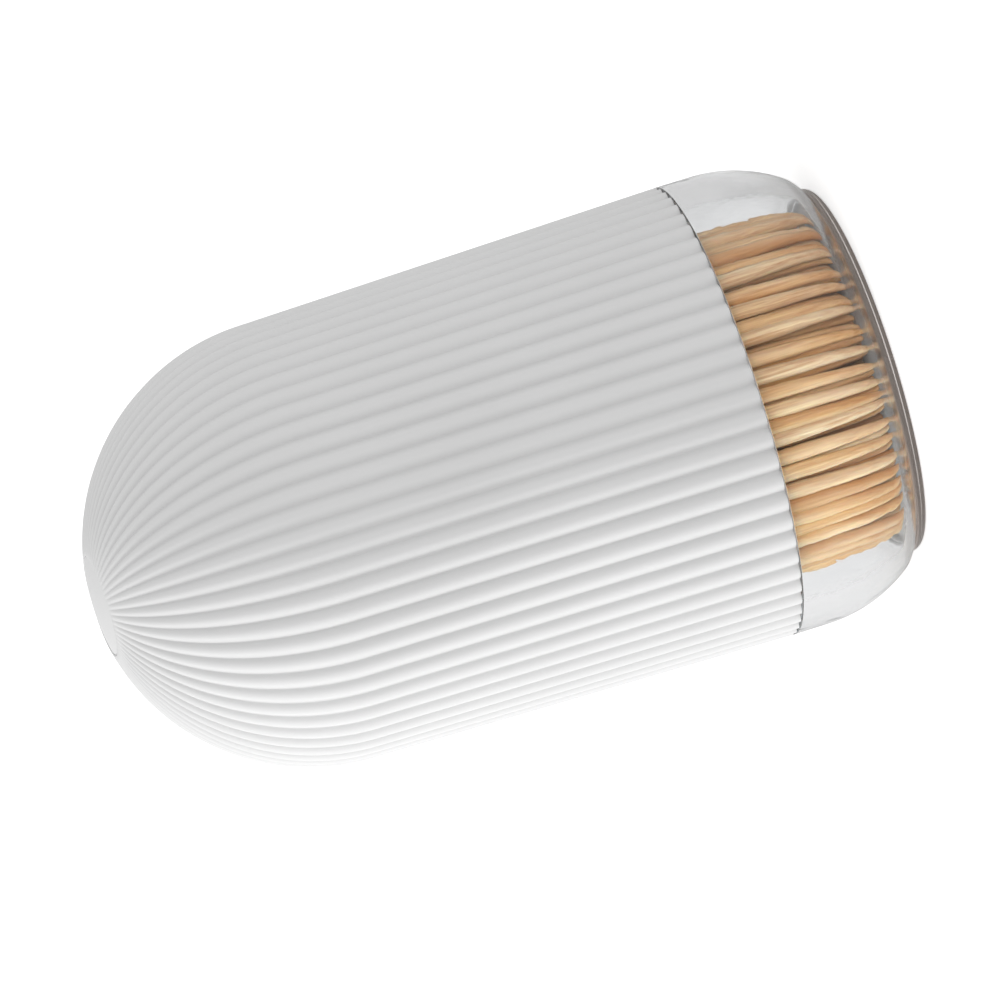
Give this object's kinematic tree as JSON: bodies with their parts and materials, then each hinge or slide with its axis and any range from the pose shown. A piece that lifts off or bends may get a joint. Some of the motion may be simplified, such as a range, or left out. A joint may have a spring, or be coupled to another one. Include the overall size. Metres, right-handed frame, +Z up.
{
  "type": "toothpick dispenser",
  "caption": "Round table dispenser for toothpicks: a white reeded dome cover lifts off a thick clear cup on a small foot, in which a bundle of wooden picks stands.",
  "frame": {"origin": "centre of the foot's flat underside", "axes": "+Z up along the common axis of foot, cup and cover, towards the crown; -Y towards a viewer at azimuth 0"},
  "size_m": [0.06, 0.06, 0.1041],
  "materials": {
    "white_plastic": "satin moulded, white",
    "crown_plastic": "satin moulded, white",
    "clear_plastic": "clear, polished",
    "foot_plastic": "clear with a faint brown smoke, polished",
    "toothpick_wood": "raw birch or bamboo, fine lengthwise grain"
  },
  "bodies": {
    "cup": {"clear_cup": "clear_plastic", "foot_disc": "foot_plastic", "toothpicks_sector_01": "toothpick_wood", "toothpicks_sector_02": "toothpick_wood", "toothpicks_sector_03": "toothpick_wood", "toothpicks_sector_04": "toothpick_wood", "toothpicks_sector_05": "toothpick_wood", "toothpicks_sector_06": "toothpick_wood", "toothpicks_sector_07": "toothpick_wood", "toothpicks_sector_08": "toothpick_wood", "toothpicks_sector_09": "toothpick_wood", "toothpicks_sector_10": "toothpick_wood"},
    "cover": {"cover": "white_plastic", "crown_disc": "crown_plastic"},
    "toothpick": {"centre_toothpick": "toothpick_wood"}
  },
  "joints": [
    {"name": "cover_lift", "type": "slide", "parent": "cup", "child": "cover", "axis": [0, 0, 1], "range_m": [0, 0.09]},
    {"name": "toothpick_draw", "type": "slide", "parent": "cup", "child": "toothpick", "axis": [0, 0, 1], "range_m": [0, 0.03]}
  ]
}
